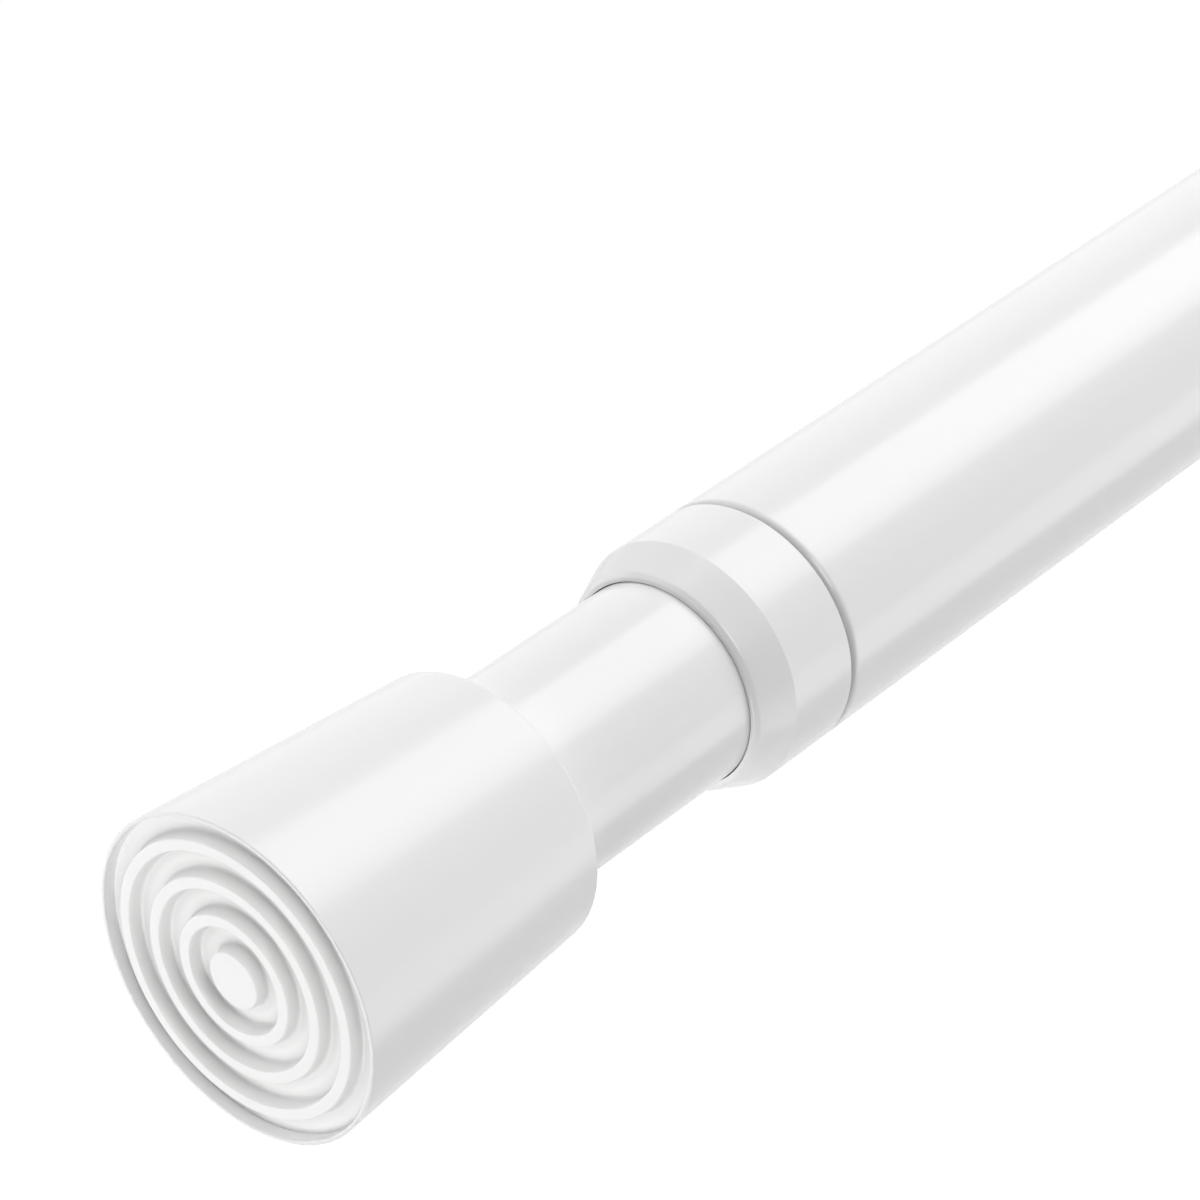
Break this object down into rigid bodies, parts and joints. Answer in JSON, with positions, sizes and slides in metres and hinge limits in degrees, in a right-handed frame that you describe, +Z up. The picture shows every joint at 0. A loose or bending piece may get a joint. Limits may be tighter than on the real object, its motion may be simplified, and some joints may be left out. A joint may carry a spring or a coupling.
{
  "type": "spring tension rod",
  "caption": "White telescopic rod that springs between two walls: a thin tube slides in a wider one, and each coned foot has a rubber pad with ring grooves.",
  "frame": {"origin": "middle of the fixed foot's wall face, on the rod's axis", "axes": "+X along the rod from the fixed foot to the sliding foot, +Z up"},
  "size_m": [0.4064, 0.0316, 0.0316],
  "materials": {
    "tube_enamel": "gloss white enamel on steel",
    "foot_plastic": "gloss white moulded plastic",
    "collar_plastic": "gloss white moulded plastic",
    "pad_rubber": "white rubber",
    "nylon": "natural nylon",
    "zinc_steel": "zinc plated steel",
    "spring_steel": "drawn spring wire",
    "ring_rubber": "black rubber"
  },
  "bodies": {
    "outer_body": {"outer_tube": "tube_enamel", "collar": "collar_plastic", "fixed_foot_shell": "foot_plastic", "fixed_foot_pad": "pad_rubber"},
    "lock": {"lock_sleeve": "nylon", "drag_ring": "ring_rubber"},
    "wedge": {"wedge_nut": "nylon"},
    "spindle": {"spindle": "zinc_steel", "thrust_washer": "nylon", "end_washer": "zinc_steel", "end_stop_nut": "zinc_steel", "buffer_washer": "nylon", "head_nut": "zinc_steel", "spring_washer": "zinc_steel"},
    "inner_body": {"inner_tube": "tube_enamel", "guide_bush": "nylon", "spring_stop": "nylon", "spring": "spring_steel", "sliding_foot_shell": "foot_plastic", "sliding_foot_pad": "pad_rubber"}
  },
  "joints": [
    {"name": "length_slide", "type": "slide", "parent": "outer_body", "child": "lock", "axis": [1, 0, 0], "range_m": [0, 0.2032]},
    {"name": "twist_lock", "type": "hinge", "parent": "lock", "child": "spindle", "pos_m": [0.0759, 0, 0], "axis": [-1, 0, 0], "range_deg": [0, 540]},
    {"name": "wedge_slide", "type": "slide", "parent": "lock", "child": "wedge", "axis": [1, 0, 0], "range_m": [0, 0.00187]},
    {"name": "spring_slide", "type": "slide", "parent": "spindle", "child": "inner_body", "axis": [1, 0, 0], "range_m": [-0.025, 0], "stiffness_N_per_m": 2100, "springref_m": 0.008, "deforming": ["spring"]}
  ],
  "couplings": [
    {"joint": "wedge_slide", "follows": "twist_lock", "m_per_rad": 0.00019894}
  ]
}
